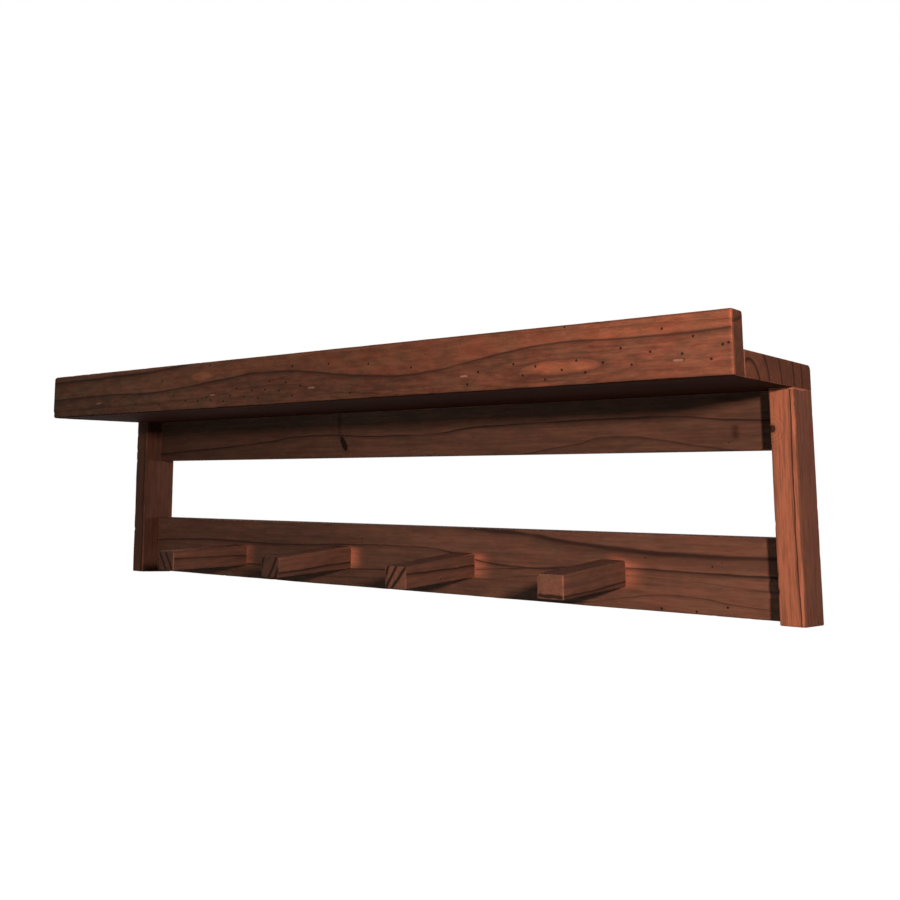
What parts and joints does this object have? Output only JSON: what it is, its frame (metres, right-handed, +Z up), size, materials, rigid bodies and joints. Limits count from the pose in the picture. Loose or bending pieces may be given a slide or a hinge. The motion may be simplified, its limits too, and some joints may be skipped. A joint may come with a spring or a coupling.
{
  "type": "wall shelf",
  "caption": "Wooden wall shelf with a raised front lip, carried by an open frame whose lower rail holds a row of four-sided pegs.",
  "frame": {"origin": "middle of the upper rail's back face, which lies on the wall", "axes": "+X along the shelf to the viewer's right, +Y into the wall, +Z up"},
  "size_m": [0.762, 0.152, 0.2164],
  "materials": {
    "stained_pine": "red-brown oil stain, rubbed, low sheen",
    "zinc_steel": "dull zinc plate",
    "staple_steel": "flat staple crowns, faintly stained"
  },
  "bodies": {
    "root": {"shelf_board": "stained_pine", "front_lip": "stained_pine", "left_stile": "stained_pine", "right_stile": "stained_pine", "upper_rail": "stained_pine", "lower_rail": "stained_pine", "peg_1": "stained_pine", "peg_2": "stained_pine", "peg_3": "stained_pine", "peg_4": "stained_pine", "shelf_screws": "zinc_steel", "lip_staples": "staple_steel", "left_hanger": "zinc_steel", "right_hanger": "zinc_steel", "hanger_screws": "zinc_steel"}
  },
  "joints": []
}
